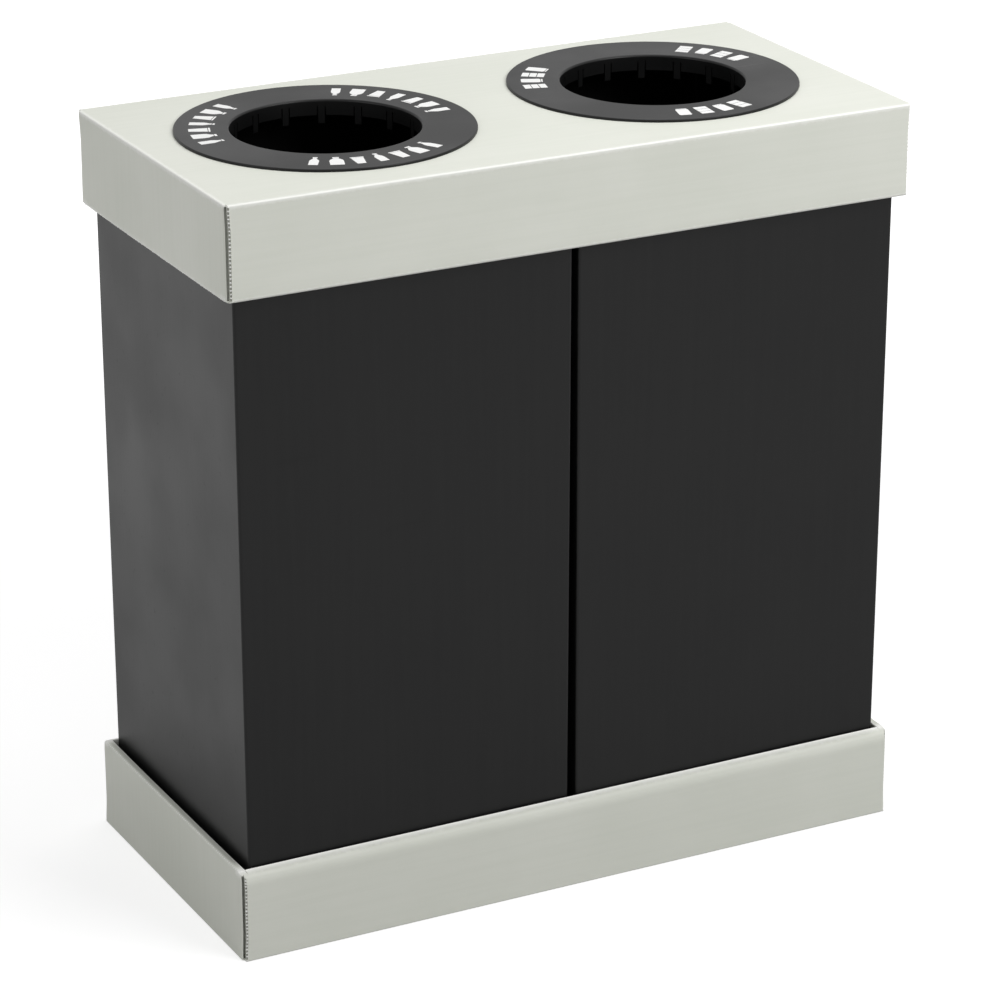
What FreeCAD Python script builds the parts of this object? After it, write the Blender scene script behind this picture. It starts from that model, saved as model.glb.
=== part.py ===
import FreeCAD, Part

import math
import os

# Double recycling bin: two folded black bins stand in a folded tray, and the same kind of tray, turned
# over, covers them. A moulded ring lines each round opening in the lid.
# Millimetres, +X right, +Y back, +Z up. The origin is the middle of the base tray's underside.

# Trays
tray_width = 780.0
tray_depth = 380.0
board = 4.0  # thickness of the trays' fluted board
base_wall_height = 100.0
lid_skirt_height = 100.0
layer_gap = 0.2  # between the layers of one folded wall
corner_reveal = 3.4  # the front and back panels stop this short of the tray's corner
corner_tab_length = 85.0
lip_clearance = 0.4  # between a folded-in panel's free edge and the floor
outer_crease_radius = 3.0
inner_crease_radius = 1.6
floor_crease_radius = 2.0

# Bins
bin_height = 805.0
bin_board = 4.0
bin_gap = 3.0  # between the two bins
bin_clearance = 1.8  # from a bin to the tray's walls
bin_corner_radius = 3.0
glue_tab_width = 35.0
inner_flap_length = 165.0
flap_side_clearance = 1.0
flap_layer_gap = 0.2
flap_meeting_gap = 1.0

# Rings
ring_opening_radius = 98.0
ring_flange_radius = 155.0
ring_flange_thickness = 3.0
ring_outer_rounding = 1.2
ring_inner_rounding = 2.4
ring_setback = 8.0  # the openings lie this far behind the lid's middle
neck_wall = 2.5
neck_depth = 17.0  # from the flange's top face to the neck's lower rim
neck_hole_clearance = 0.5  # radial, so that the ring turns in the lid

# Snap fingers round each neck
finger_count = 16
finger_width = 7.0
finger_drop = 9.0  # below the neck's lower rim
finger_slot_width = 1.2
finger_slot_height = 10.0  # above the neck's lower rim
barb_reach = 2.2
barb_ramp_height = 6.0

# Collars under the lid board
collar_height = 9.0
collar_flange_radius = 125.0
collar_flange_thickness = 2.5
collar_sleeve_wall = 2.5
collar_neck_clearance = 0.3

# Places that follow from the sizes above
lid_top = board + bin_height + board
lid_underside = lid_top - board
front_stack = 3 * board + 2 * layer_gap  # outer panel, corner tab and folded-in panel
end_stack = 2 * board + layer_gap  # outer panel and folded-in panel
inside_width = tray_width - 2 * end_stack
inside_depth = tray_depth - 2 * front_stack
bin_width = (inside_width - bin_gap) / 2 - bin_clearance
bin_depth = inside_depth - 2 * bin_clearance
bin_centre_x = (bin_width + bin_gap) / 2
neck_radius = ring_opening_radius + neck_wall
neck_rim = lid_top + ring_flange_thickness - neck_depth
collar_foot = lid_underside - collar_height

up = FreeCAD.Vector(0, 0, 1)
origin = FreeCAD.Vector(0, 0, 0)
sides = (-1, 1)
full_turn = 360.0
same_place = 0.001  # two coordinates or radii this near each other are the same


def block(x_range, y_range, z_range):
    """A box between the given limits, each pair in either order."""
    low = FreeCAD.Vector(min(x_range), min(y_range), min(z_range))
    high = FreeCAD.Vector(max(x_range), max(y_range), max(z_range))
    size = high - low
    return Part.makeBox(size.x, size.y, size.z, low)


def joined(pieces):
    """One solid from touching or overlapping pieces."""
    return pieces[0].multiFuse(pieces[1:]).removeSplitter()


def edges_on_line(shape, **at):
    """The straight edges that lie on a line parallel to an axis, given by its two other coordinates."""
    found = []
    for edge in shape.Edges:
        ends = [vertex.Point for vertex in edge.Vertexes]
        on_line = all(abs(getattr(end, axis) - value) < same_place
                      for end in ends for axis, value in at.items())
        if len(ends) == 2 and on_line and isinstance(edge.Curve, Part.Line):
            found.append(edge)
    return found


def softened(shape, radius, lines):
    """The shape with its edges on each of the lines rounded, as a crease in the board is."""
    edges = [edge for line in lines for edge in edges_on_line(shape, **line)]
    return shape.makeFillet(radius, edges)


def long_wall(side, height):
    """The front (side -1) or back (side 1) wall: outer panel, roll over the top and folded-in panel."""
    outer = side * tray_depth / 2
    panel_end = tray_width / 2 - corner_reveal
    lip_end = inside_width / 2 - layer_gap
    inner = side * inside_depth / 2
    panel = block((-panel_end, panel_end), (outer, outer - side * board), (0, height))
    roll = block((-lip_end, lip_end), (outer, inner), (height - board, height))
    lip = block((-lip_end, lip_end), (inner, inner + side * board), (board + lip_clearance, height))
    return [panel, roll, lip]


def end_wall(side, height):
    """The left (side -1) or right (side 1) wall, whose two corner tabs turn in behind the long walls."""
    outer = side * tray_width / 2
    inner = side * (tray_width / 2 - end_stack)
    crease = tray_depth / 2 - board - layer_gap
    lip_end = crease - board - layer_gap
    panel = block((outer, outer - side * board), (-crease, crease), (0, height))
    roll = block((outer, inner), (-crease, crease), (height - board, height))
    lip = block((inner, inner + side * board), (-lip_end, lip_end), (board + lip_clearance, height))
    tab_top = height - board - layer_gap
    tab_end = outer - side * corner_tab_length
    tabs = [block((outer, tab_end), (end * crease, end * (crease - board)), (board + layer_gap, tab_top))
            for end in sides]
    return [panel, roll, lip] + tabs


def folded_tray(height):
    """One die-cut sheet folded into a tray that stands on z = 0, every wall rolled over double."""
    crease = tray_depth / 2 - board - layer_gap
    panel_end = tray_width / 2 - corner_reveal
    half_width = tray_width / 2
    half_depth = tray_depth / 2
    sheet = [block((-half_width, half_width), (-crease, crease), (0, board))]
    sheet.append(block((-panel_end, panel_end), (-half_depth, half_depth), (0, board)))
    for side in sides:
        sheet += long_wall(side, height)
        sheet += end_wall(side, height)
    tray = joined(sheet)
    corners = [{"x": x * half_width, "y": y * crease} for x in sides for y in sides]
    outer_rolls = [{"y": side * half_depth, "z": height} for side in sides]
    outer_rolls += [{"x": side * half_width, "z": height} for side in sides]
    inner_rolls = [{"y": side * inside_depth / 2, "z": height} for side in sides]
    inner_rolls += [{"x": side * (half_width - end_stack), "z": height} for side in sides]
    floor_creases = [{"y": side * half_depth, "z": 0} for side in sides]
    floor_creases += [{"x": side * half_width, "z": 0} for side in sides]
    tray = softened(tray, outer_crease_radius, corners + outer_rolls)
    tray = softened(tray, inner_crease_radius, inner_rolls)
    return softened(tray, floor_crease_radius, floor_creases)


def ring_place(side):
    """The middle of the left (side -1) or right (side 1) opening, at floor level."""
    return FreeCAD.Vector(side * bin_centre_x, ring_setback, 0)


def lid_tray():
    """The tray turned over, with a round hole for each ring's neck."""
    tray = folded_tray(lid_skirt_height)
    tray.rotate(origin, FreeCAD.Vector(1, 0, 0), full_turn / 2)
    tray.translate(up * lid_top)
    hole_radius = neck_radius + neck_hole_clearance
    for side in sides:
        tray = tray.cut(Part.makeCylinder(hole_radius, board, ring_place(side) + up * lid_underside))
    return tray


def folded_bin(side):
    """One sheet folded round into a sleeve, closed by a glued tab and by four flaps in two layers."""
    half_width = bin_width / 2
    half_depth = bin_depth / 2
    inner_x = half_width - bin_board
    inner_y = half_depth - bin_board
    top = board + bin_height
    sleeve = block((-half_width, half_width), (-half_depth, half_depth), (board, top))
    corners = [{"x": x * half_width, "y": y * half_depth} for x in sides for y in sides]
    sleeve = softened(sleeve, bin_corner_radius, corners)
    sleeve = sleeve.cut(block((-inner_x, inner_x), (-inner_y, inner_y), (board, top)))
    sheet = [sleeve]
    outer_layer = (board, board + bin_board)
    inner_layer = (outer_layer[1] + flap_layer_gap, outer_layer[1] + flap_layer_gap + bin_board)
    flap_x = inner_x - flap_side_clearance
    flap_y = inner_y - flap_side_clearance
    for end in sides:
        sheet.append(block((-flap_x, flap_x), (end * inner_y, end * flap_meeting_gap / 2), outer_layer))
        flap_tip = end * (inner_x - inner_flap_length)
        sheet.append(block((end * inner_x, flap_tip), (-flap_y, flap_y), inner_layer))
    glue_tab_foot = inner_layer[1] + flap_side_clearance
    glue_tab_x = (side * inner_x, side * (inner_x - glue_tab_width))
    sheet.append(block(glue_tab_x, (inner_y, inner_y - bin_board), (glue_tab_foot, top)))
    folded = joined(sheet)
    folded.translate(FreeCAD.Vector(side * bin_centre_x, 0, 0))
    return folded


def turned(points, angle=full_turn):
    """The outline of (radius, height) points turned about the ring's axis, centred on +X."""
    corners = [FreeCAD.Vector(radius, 0, height) for radius, height in points]
    outline = Part.Face(Part.makePolygon(corners + corners[:1]))
    solid = outline.revolve(origin, up, angle)
    if angle < full_turn:
        solid.rotate(origin, up, -angle / 2)
    return solid


def snap_finger():
    """A finger that hangs from the neck, with a barb that catches under the collar."""
    tip = neck_rim - finger_drop
    barb_radius = neck_radius + barb_reach
    root = neck_rim + finger_slot_height
    points = [(ring_opening_radius, root), (neck_radius, root),
              (neck_radius, collar_foot), (barb_radius, collar_foot),
              (neck_radius, collar_foot - barb_ramp_height), (neck_radius, tip), (ring_opening_radius, tip)]
    return turned(points, math.degrees(finger_width / neck_radius))


def finger_slots():
    """The two slits that free one finger from the neck."""
    slot = block((ring_opening_radius - neck_wall, neck_radius + neck_wall), (0, finger_slot_width),
                 (neck_rim, neck_rim + finger_slot_height))
    slots = []
    for side in sides:
        offset = side * (finger_width + finger_slot_width) / 2 - finger_slot_width / 2
        slots.append(slot.translated(FreeCAD.Vector(0, offset, 0)))
    return slots


def round_the_neck(shape):
    """Copies of a shape at every finger's place round the neck."""
    step = full_turn / finger_count
    return [shape.rotated(origin, up, index * step) for index in range(finger_count)]


def circular_edge(shape, radius, height):
    """The full circles of one radius at one height."""
    return [edge for edge in shape.Edges if isinstance(edge.Curve, Part.Circle)
            and abs(edge.Curve.Radius - radius) < same_place
            and abs(edge.Curve.Center.z - height) < same_place]


def opening_ring(side):
    """The flange on the lid, its neck through the board and the snap fingers below."""
    flange_top = lid_top + ring_flange_thickness
    points = [(ring_opening_radius, neck_rim), (neck_radius, neck_rim), (neck_radius, lid_top),
              (ring_flange_radius, lid_top), (ring_flange_radius, flange_top),
              (ring_opening_radius, flange_top)]
    ring = turned(points)
    ring = ring.makeFillet(ring_outer_rounding, circular_edge(ring, ring_flange_radius, flange_top))
    ring = ring.makeFillet(ring_inner_rounding, circular_edge(ring, ring_opening_radius, flange_top))
    slots = [copy for slot in finger_slots() for copy in round_the_neck(slot)]
    ring = joined([ring.cut(slots)] + round_the_neck(snap_finger()))
    return ring.translated(ring_place(side))


def ring_collar(side):
    """The collar under the lid board: a flange against the board and a sleeve round the neck."""
    bore = neck_radius + collar_neck_clearance
    sleeve_radius = bore + collar_sleeve_wall
    flange_foot = lid_underside - collar_flange_thickness
    points = [(bore, collar_foot), (sleeve_radius, collar_foot), (sleeve_radius, flange_foot),
              (collar_flange_radius, flange_foot), (collar_flange_radius, lid_underside),
              (bore, lid_underside)]
    return turned(points).translated(ring_place(side))


nodes = {
    "base_tray": folded_tray(base_wall_height),
    "lid_tray": lid_tray(),
}
for name, side in (("left", -1), ("right", 1)):
    nodes["bin_" + name] = folded_bin(side)
    nodes["ring_" + name] = opening_ring(side)
    nodes["ring_collar_" + name] = ring_collar(side)

os.makedirs("parts", exist_ok=True)
for node, shape in nodes.items():
    solid = shape.Solids[0]
    box = solid.BoundBox
    print(f"{node}: {len(shape.Solids)} solid, valid {shape.isValid()}, {solid.Volume / 1000:.1f} cm3")
    print(f"    lowest corner {box.XMin:.1f} {box.YMin:.1f} {box.ZMin:.1f}")
    print(f"    highest corner {box.XMax:.1f} {box.YMax:.1f} {box.ZMax:.1f}")
    solid.exportStep(f"parts/{node}.step")
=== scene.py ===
"""A double recycling bin: two folded bins stand in a folded tray, under a matching lid with ringed openings.

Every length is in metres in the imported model's own frame: +X right, +Y back, +Z up.
"""

import logging
import math
from abc import ABC, abstractmethod
from collections.abc import Callable, Iterable, Mapping, Sequence
from dataclasses import dataclass
from enum import Enum
from functools import cache

import bmesh
import bpy
from mathutils import Matrix, Vector, noise


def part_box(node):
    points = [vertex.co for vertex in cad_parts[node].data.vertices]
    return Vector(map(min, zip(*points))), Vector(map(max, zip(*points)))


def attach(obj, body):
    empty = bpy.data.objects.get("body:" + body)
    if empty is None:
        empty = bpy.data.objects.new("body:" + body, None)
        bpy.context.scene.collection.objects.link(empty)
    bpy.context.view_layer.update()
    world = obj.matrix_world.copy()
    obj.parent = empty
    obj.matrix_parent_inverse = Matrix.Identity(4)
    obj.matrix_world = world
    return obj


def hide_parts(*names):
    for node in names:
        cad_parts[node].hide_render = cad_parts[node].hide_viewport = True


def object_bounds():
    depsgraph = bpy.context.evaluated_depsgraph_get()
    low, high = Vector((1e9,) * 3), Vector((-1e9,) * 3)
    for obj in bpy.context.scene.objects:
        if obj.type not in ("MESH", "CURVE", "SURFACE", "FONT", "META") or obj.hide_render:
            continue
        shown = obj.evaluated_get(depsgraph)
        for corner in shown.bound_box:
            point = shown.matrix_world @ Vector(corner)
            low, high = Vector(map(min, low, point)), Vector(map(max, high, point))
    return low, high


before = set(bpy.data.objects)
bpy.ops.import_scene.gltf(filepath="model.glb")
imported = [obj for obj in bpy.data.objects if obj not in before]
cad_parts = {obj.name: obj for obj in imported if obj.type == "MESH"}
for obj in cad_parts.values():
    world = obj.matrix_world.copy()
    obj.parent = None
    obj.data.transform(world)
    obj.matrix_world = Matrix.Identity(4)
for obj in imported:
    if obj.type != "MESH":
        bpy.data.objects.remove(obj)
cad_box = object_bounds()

log = logging.getLogger("recycling_bin")

MM = 0.001
FULL_TURN = 2 * math.pi
SAME_PLACE = 1e-6
FLAT_ANGLE = math.radians(0.05)  # below this, the CAD mesh's triangles are one flat face
SHARP_ANGLE = math.radians(33)
NIB_SHARP_ANGLE = math.radians(80)


class Axis(Enum):
    """The three directions of the shared frame, as an index into a vector."""

    X = 0
    Y = 1
    Z = 2


class Side(Enum):
    """The two halves of the object, seen from the front."""

    LEFT = -1
    RIGHT = 1

    @property
    def label(self) -> str:
        """The side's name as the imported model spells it."""
        return self.name.lower()


class FluteLay(Enum):
    """Which way the flutes run: (along, across) for faces that look along X, Y and Z."""

    ALONG_WIDTH = ((Axis.Z, Axis.Y), (Axis.X, Axis.Z), (Axis.X, Axis.Y))
    UPRIGHT = ((Axis.Z, Axis.Y), (Axis.Z, Axis.X), (Axis.X, Axis.Y))


Pair = tuple[float, float]
Triple = tuple[float, float, float]
Colour = tuple[float, float, float, float]
Point = Sequence[float]
Bend = Callable[[Vector], Vector]
Planes = Iterable[tuple[Axis, Iterable[float]]]
Shape = bmesh.types.BMesh
Piece = bpy.types.Object
Material = bpy.types.Material
Tree = bpy.types.NodeTree
Socket = bpy.types.NodeSocket
Sockets = bpy.types.NodeOutputs


# Meshes


def from_bmesh(name: str, shape: Shape) -> Piece:
    """Turns a bmesh into an object of the scene, at the origin, and frees the bmesh.

    Args:
        name: The object's and the mesh's name.
        shape: The bmesh to use up.

    Returns:
        The new object.
    """
    mesh = bpy.data.meshes.new(name)
    shape.to_mesh(mesh)
    shape.free()
    piece = bpy.data.objects.new(name, mesh)
    bpy.context.scene.collection.objects.link(piece)
    return piece


def copy_of_node(node: str) -> Shape:
    """Copies a CAD node's mesh, with its loose triangles merged into one closed shell.

    Args:
        node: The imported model's node.

    Returns:
        The merged copy.
    """
    shape = bmesh.new()
    shape.from_mesh(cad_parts[node].data)
    bmesh.ops.remove_doubles(shape, verts=shape.verts[:], dist=SAME_PLACE)
    bmesh.ops.dissolve_limit(shape, angle_limit=FLAT_ANGLE, verts=shape.verts[:], edges=shape.edges[:])
    return shape


def spaced(low: float, high: float, step: float) -> list[float]:
    """Evenly spaced places strictly between two limits, no further apart than a step."""
    count = max(1, math.ceil((high - low) / step))
    return [low + (high - low) * index / count for index in range(1, count)]


def towards(axis: Axis, length: float) -> Vector:
    """The vector of a length along an axis.

    Args:
        axis: The axis.
        length: The length.

    Returns:
        The vector.
    """
    way = Vector((0, 0, 0))
    way[axis.value] = length
    return way


def relaxed(sheet: Piece, planes: Planes, bend: Bend) -> Piece:
    """Splits a sheet's faces along planes, so that they can bend there, and bends it.

    Args:
        sheet: The straight-walled sheet.
        planes: The way that each set of planes faces, and their places along it.
        bend: Where each point lies once the board has relaxed.

    Returns:
        The same object, bent.
    """
    shape = bmesh.new()
    shape.from_mesh(sheet.data)
    for axis, places in planes:
        facing = towards(axis, 1)
        for place in places:
            whole = shape.verts[:] + shape.edges[:] + shape.faces[:]
            bmesh.ops.bisect_plane(
                shape, geom=whole, dist=SAME_PLACE, plane_co=facing * place, plane_no=facing
            )
    many_sided = [face for face in shape.faces if len(face.verts) > 4]
    bmesh.ops.triangulate(shape, faces=many_sided)
    for point in shape.verts:
        point.co = bend(point.co)
    shape.to_mesh(sheet.data)
    shape.free()
    return sheet


def carried(piece: Piece, bend: Bend) -> Piece:
    """Moves an object's points along with the board that bends under them."""
    for point in piece.data.vertices:
        point.co = bend(point.co)
    return piece


def add_box(shape: Shape, corner: Point, opposite: Point) -> None:
    """Adds the box between two opposite corners to a shape.

    Args:
        shape: The shape to add to.
        corner: Any corner of the box.
        opposite: The corner across from it.
    """
    low = Vector(map(min, corner, opposite))
    high = Vector(map(max, corner, opposite))
    size = Matrix.Diagonal((high - low).to_4d())
    bmesh.ops.create_cube(shape, size=1, matrix=Matrix.Translation((high + low) / 2) @ size)


def add_prism(shape: Shape, foot: Iterable[Point], sweep: Point) -> None:
    """Adds a prism to a shape: a flat face, swept along a vector.

    Args:
        shape: The shape to add to.
        foot: The face's corners, in order.
        sweep: The way from the foot to the top.
    """
    face = shape.faces.new([shape.verts.new(corner) for corner in foot])
    swept = bmesh.ops.extrude_face_region(shape, geom=[face])
    raised = [item for item in swept["geom"] if isinstance(item, bmesh.types.BMVert)]
    bmesh.ops.translate(shape, verts=raised, vec=sweep)
    bmesh.ops.recalc_face_normals(shape, faces=shape.faces[:])


def round_nib(half_size: Point) -> Piece:
    """A small round lump at the origin.

    Args:
        half_size: Its half sizes.

    Returns:
        The lump.
    """
    shape = bmesh.new()
    bmesh.ops.create_icosphere(shape, subdivisions=1, radius=1, matrix=Matrix.Diagonal((*half_size, 1)))
    return from_bmesh("nib", shape)


def revolved(name: str, outline: Sequence[Pair], centre: Vector, segments: int) -> Piece:
    """Turns a closed outline of (radius, height) points about an upright axis.

    Args:
        name: The object's name.
        outline: The points, in order, away from the axis.
        centre: The foot of the axis; the heights are above it.
        segments: The number of steps round the turn.

    Returns:
        The closed solid of revolution.
    """
    shape = bmesh.new()
    rows = []
    for step in range(segments):
        angle = FULL_TURN * step / segments
        heading = Vector((math.cos(angle), math.sin(angle), 0))
        places = [centre + heading * radius + Vector((0, 0, height)) for radius, height in outline]
        rows.append([shape.verts.new(place) for place in places])
    for step, row in enumerate(rows):
        following = rows[(step + 1) % segments]
        for index in range(len(outline)):
            beyond = (index + 1) % len(outline)
            shape.faces.new((row[index], following[index], following[beyond], row[beyond]))
    bmesh.ops.recalc_face_normals(shape, faces=shape.faces[:])
    return from_bmesh(name, shape)


def quarter_arc(middle: Pair, radius: float, first: float, steps: int = 5) -> list[Pair]:
    """The chords' ends on a clockwise quarter circle of (radius, height) points, from a first angle."""
    angles = [first - math.pi / 2 * step / steps for step in range(steps + 1)]
    return [(middle[0] + radius * math.cos(angle), middle[1] + radius * math.sin(angle)) for angle in angles]


def settled(piece: Piece) -> Piece:
    """Writes an object's modifiers into its mesh and removes them.

    Args:
        piece: The object.

    Returns:
        The same object, with a plain mesh.
    """
    bpy.context.view_layer.update()
    graph = bpy.context.evaluated_depsgraph_get()
    mesh = bpy.data.meshes.new_from_object(
        piece.evaluated_get(graph), preserve_all_data_layers=True, depsgraph=graph
    )
    rough = piece.data
    piece.modifiers.clear()
    piece.data = mesh
    bpy.data.meshes.remove(rough)
    mesh.name = piece.name
    return piece


def discarded(piece: Piece) -> None:
    """Removes a helper object and its mesh.

    Args:
        piece: The helper.
    """
    mesh = piece.data
    bpy.data.objects.remove(piece)
    bpy.data.meshes.remove(mesh)


def carved(piece: Piece, cutter: Piece) -> Piece:
    """Cuts one object's shape out of another and removes the cutter.

    Args:
        piece: The object to cut.
        cutter: The closed shape to take away.

    Returns:
        The cut object.
    """
    carve = piece.modifiers.new("carve", "BOOLEAN")
    carve.operation = "DIFFERENCE"
    carve.solver = "EXACT"
    carve.object = cutter
    settled(piece)
    discarded(cutter)
    return piece


def joined(name: str, pieces: Iterable[Piece]) -> Piece:
    """Puts several objects with one material into one mesh and removes them.

    Args:
        name: The new object's name.
        pieces: The objects.

    Returns:
        The object that holds them all.
    """
    shape = bmesh.new()
    for piece in pieces:
        shape.from_mesh(piece.data)
        discarded(piece)
    return from_bmesh(name, shape)


def smoothed(piece: Piece, sharp_above: float = SHARP_ANGLE) -> Piece:
    """Shades an object smooth, apart from its sharp edges, with its flat faces kept flat.

    Args:
        piece: The object.
        sharp_above: The angle between two faces from which their edge stays sharp.

    Returns:
        The same object, with the normals written into its mesh.
    """
    piece.data.shade_smooth()
    piece.data.set_sharp_from_angle(angle=sharp_above)
    weigh = piece.modifiers.new("weigh", "WEIGHTED_NORMAL")
    weigh.keep_sharp = True
    weigh.mode = "FACE_AREA"
    return settled(piece)


def mapped_flutes(piece: Piece, lay: FluteLay) -> None:
    """Gives a board piece a UV map in metres, U along its flutes and V across them.

    Args:
        piece: The folded board.
        lay: Which way the flutes run.
    """
    mesh = piece.data
    flute_map = mesh.uv_layers.new(name="flute_map")
    for polygon in mesh.polygons:
        facing = max(Axis, key=lambda axis: abs(polygon.normal[axis.value]))
        along, across = lay.value[facing.value]
        for loop in polygon.loop_indices:
            place = mesh.vertices[mesh.loops[loop].vertex_index].co
            flute_map.data[loop].uv = (place[along.value], place[across.value])


def handed_over(piece: Piece, material: Material, body: str, slot: str, *nodes: str) -> None:
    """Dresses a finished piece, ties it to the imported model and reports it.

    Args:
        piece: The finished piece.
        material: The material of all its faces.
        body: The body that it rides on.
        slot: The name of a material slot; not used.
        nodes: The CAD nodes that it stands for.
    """
    piece.data.materials.clear()
    piece.data.materials.append(material)
    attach(piece, body)
    if nodes:
        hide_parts(*nodes)
    piece.data.calc_loop_triangles()
    log.info("%s rides on %s, %d triangles", piece.name, body, len(piece.data.loop_triangles))


def eased(value: float) -> float:
    """A smooth rise from 0 at 0 to 1 at 1, level beyond both."""
    held = min(1.0, max(0.0, value))
    return held * held * (3 - 2 * held)


def unevenness(across: float, along: float, seed: float) -> float:
    """A smooth value from 0 to 1 at a place in waves, the same in every run; the seed picks the pattern."""
    middle, swing = 0.5, 0.7
    return min(1.0, max(0.0, middle + swing * noise.noise(Vector((across, along, seed)))))


# Node trees


class NodeSheet:
    """A node tree under construction, with short calls to add and link its nodes."""

    def __init__(self, tree: Tree) -> None:
        """Wraps a tree."""
        self.tree = tree

    @classmethod
    def of_group(
        cls, name: str, tree_kind: str, inputs: Mapping[str, str], outputs: Mapping[str, str]
    ) -> "NodeSheet":
        """Starts a node group.

        Args:
            name: The group's name.
            tree_kind: The kind of its tree.
            inputs: The kind of each input, by its name.
            outputs: The kind of each output, by its name.

        Returns:
            The group's sheet.
        """
        sheet = cls(bpy.data.node_groups.new(name, tree_kind))
        for way, sockets in (("INPUT", inputs), ("OUTPUT", outputs)):
            for label, kind in sockets.items():
                sheet.tree.interface.new_socket(label, in_out=way, socket_type="NodeSocket" + kind)
        return sheet

    def given(self) -> Sockets:
        """The group's own inputs, as sockets to link from."""
        return self.node("NodeGroupInput").outputs

    def giving(self, **results: Socket) -> Tree:
        """Links the group's outputs, by name, and gives back the finished tree."""
        self.node("NodeGroupOutput", results)
        return self.tree

    def node(
        self, kind: str, inputs: Mapping[str | int, object] | None = None, **settings: object
    ) -> bpy.types.Node:
        """Adds a node.

        Args:
            kind: The node's type.
            inputs: What its inputs get, by name or number.
            settings: Its properties, by name.

        Returns:
            The new node.
        """
        made = self.tree.nodes.new(kind)
        for name, value in settings.items():
            setattr(made, name, value)
        for name, value in (inputs or {}).items():
            self.feed(made.inputs[name], value)
        return made

    def feed(self, target: Socket, value: object) -> None:
        """Links a socket to an input, or sets the input to a plain value."""
        if isinstance(value, Socket):
            self.tree.links.new(value, target)
        else:
            target.default_value = value

    def maths(self, operation: str, *values: object, clamp: bool = False) -> Socket:
        """Adds a Math node with the given inputs; clamp keeps its result between 0 and 1."""
        inputs = dict(enumerate(values))
        return self.node("ShaderNodeMath", inputs, operation=operation, use_clamp=clamp).outputs[0]

    def vectors(self, operation: str, *values: object) -> bpy.types.Node:
        """Adds a Vector Math node with the given inputs."""
        return self.node("ShaderNodeVectorMath", dict(enumerate(values)), operation=operation)

    def parts(self, vector: object) -> Sockets:
        """Adds a node that takes a vector apart, and gives its X, Y and Z."""
        return self.node("ShaderNodeSeparateXYZ", {0: vector}).outputs

    def stepped(self, value: object, limits: Pair, results: Pair = (0.0, 1.0)) -> Socket:
        """Adds a smooth Map Range node, from the input's two limits to the result at each."""
        inputs = dict(enumerate((value, *limits, *results)))
        return self.node("ShaderNodeMapRange", inputs, interpolation_type="SMOOTHSTEP").outputs[0]

    def blended(self, share: object, first: object, second: object) -> Socket:
        """Adds a colour Mix node, where the share is the second colour's."""
        return self.node("ShaderNodeMix", {"Factor": share, 6: first, 7: second}, data_type="RGBA").outputs[2]

    def cloud(self, place: object, scale: float, detail: float = 2.0) -> Socket:
        """Adds a Noise texture at a place, with its scale in waves a metre and its octaves."""
        inputs = {"Vector": place, "Scale": scale, "Detail": detail}
        return self.node("ShaderNodeTexNoise", inputs).outputs["Fac"]

    def group(self, tree: Tree, inputs: Mapping[str, object]) -> Sockets:
        """Places a shader group with the given inputs, and gives its outputs."""
        return self.node("ShaderNodeGroup", inputs, node_tree=tree).outputs


@cache
def repeat_tree() -> Tree:
    """Geometry Nodes that repeat a small piece from each point of a host mesh, in a row or round an axis.

    Returns:
        The tree.
    """
    inputs = {
        "Starts": "Geometry", "Piece": "Object", "Count": "Int", "Step": "Vector", "Step Turn": "Float",
        "Unevenness": "Float", "Seed": "Int", "Material": "Material",
    }
    sheet = NodeSheet.of_group("repeated_piece", "GeometryNodeTree", inputs, {"Pieces": "Geometry"})
    given = sheet.given()
    spacing = {"Count": given["Count"], "Offset": given["Step"]}
    row = sheet.node("GeometryNodeMeshLine", spacing, mode="OFFSET")
    rows = sheet.node("GeometryNodeInstanceOnPoints", {"Points": given["Starts"], "Instance": row.outputs[0]})
    places = sheet.node("GeometryNodeRealizeInstances", {0: rows.outputs[0]})
    number = sheet.maths("MODULO", sheet.node("GeometryNodeInputIndex").outputs[0], given["Count"])
    heading = sheet.node("ShaderNodeCombineXYZ", {"Z": sheet.maths("MULTIPLY", number, given["Step Turn"])})
    least = sheet.maths("SUBTRACT", 1.0, given["Unevenness"])
    limits = {0: least, 1: (1, 1, 1), "Seed": given["Seed"]}
    shrink = sheet.node("FunctionNodeRandomValue", limits, data_type="FLOAT_VECTOR")
    source = sheet.node("GeometryNodeObjectInfo", {0: given["Piece"]})
    copies = sheet.node("GeometryNodeInstanceOnPoints", {
        "Points": places.outputs[0], "Instance": source.outputs["Geometry"],
        "Rotation": heading.outputs[0], "Scale": shrink.outputs["Value"],
    })
    real = sheet.node("GeometryNodeRealizeInstances", {0: copies.outputs[0]})
    finish = {"Geometry": real.outputs[0], "Material": given["Material"]}
    return sheet.giving(Pieces=sheet.node("GeometryNodeSetMaterial", finish).outputs[0])


@dataclass(frozen=True)
class Repeat:
    """How a small piece repeats from each start: in a row by a step, or round the start by a turn."""

    count: int
    step: Triple = (0.0, 0.0, 0.0)
    step_turn: float = 0.0
    unevenness: float = 0.0
    seed: int = 1

    def made(self, name: str, piece: Piece, starts: Iterable[Point], material: Material) -> Piece:
        """Makes the copies, as one plain mesh, and removes the small piece.

        Args:
            name: The new object's name.
            piece: The small piece, modelled at the origin.
            starts: The first copy of each row or round.
            material: The copies' material.

        Returns:
            The object that holds all the copies.
        """
        host = bmesh.new()
        for start in starts:
            host.verts.new(start)
        copies = from_bmesh(name, host)
        modifier = copies.modifiers.new("repeat", "NODES")
        modifier.node_group = repeat_tree()
        values = {
            "Piece": piece, "Count": self.count, "Step": self.step, "Step Turn": self.step_turn,
            "Unevenness": self.unevenness, "Seed": self.seed, "Material": material,
        }
        for item in repeat_tree().interface.items_tree:
            if item.in_out == "INPUT" and item.name in values:
                modifier[item.identifier] = values[item.name]
        settled(copies)
        discarded(piece)
        return copies


# Shader groups


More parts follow.
